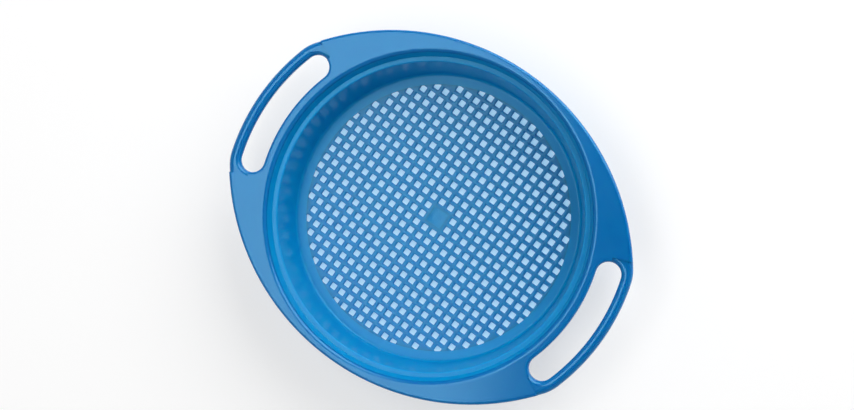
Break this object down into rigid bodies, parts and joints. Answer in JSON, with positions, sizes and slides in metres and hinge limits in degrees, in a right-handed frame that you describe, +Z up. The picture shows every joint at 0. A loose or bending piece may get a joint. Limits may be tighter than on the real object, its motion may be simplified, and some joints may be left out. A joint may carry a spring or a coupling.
{
  "type": "sand sieve",
  "caption": "Round plastic sand sieve: a drafted dish with an open square mesh floor, a stepped mouth and a wide flat rim drawn out into two slotted hand grips.",
  "frame": {"origin": "on the dish axis, at the level of the ground that the sieve stands on", "axes": "+Z up along the dish axis, +X from the dish axis to the right-hand grip, +Y along the short way across the rim"},
  "size_m": [0.282, 0.2314, 0.05],
  "materials": {
    "blue_rim": "moulded polypropylene, soft gloss with faint flow marks",
    "blue_dish": "moulded polypropylene, smooth gloss",
    "blue_mesh": "moulded polypropylene, smooth gloss, slightly translucent"
  },
  "bodies": {
    "root": {"rim_flange": "blue_rim", "left_grip": "blue_rim", "right_grip": "blue_rim", "left_slot_lip": "blue_rim", "right_slot_lip": "blue_rim", "front_skirt": "blue_rim", "back_skirt": "blue_rim", "mouth_step": "blue_dish", "mouth_ledge": "blue_dish", "bowl_wall": "blue_dish", "floor_ring": "blue_dish", "long_mesh_bars": "blue_mesh", "cross_mesh_bars": "blue_mesh", "centre_pad": "blue_mesh"}
  },
  "joints": []
}
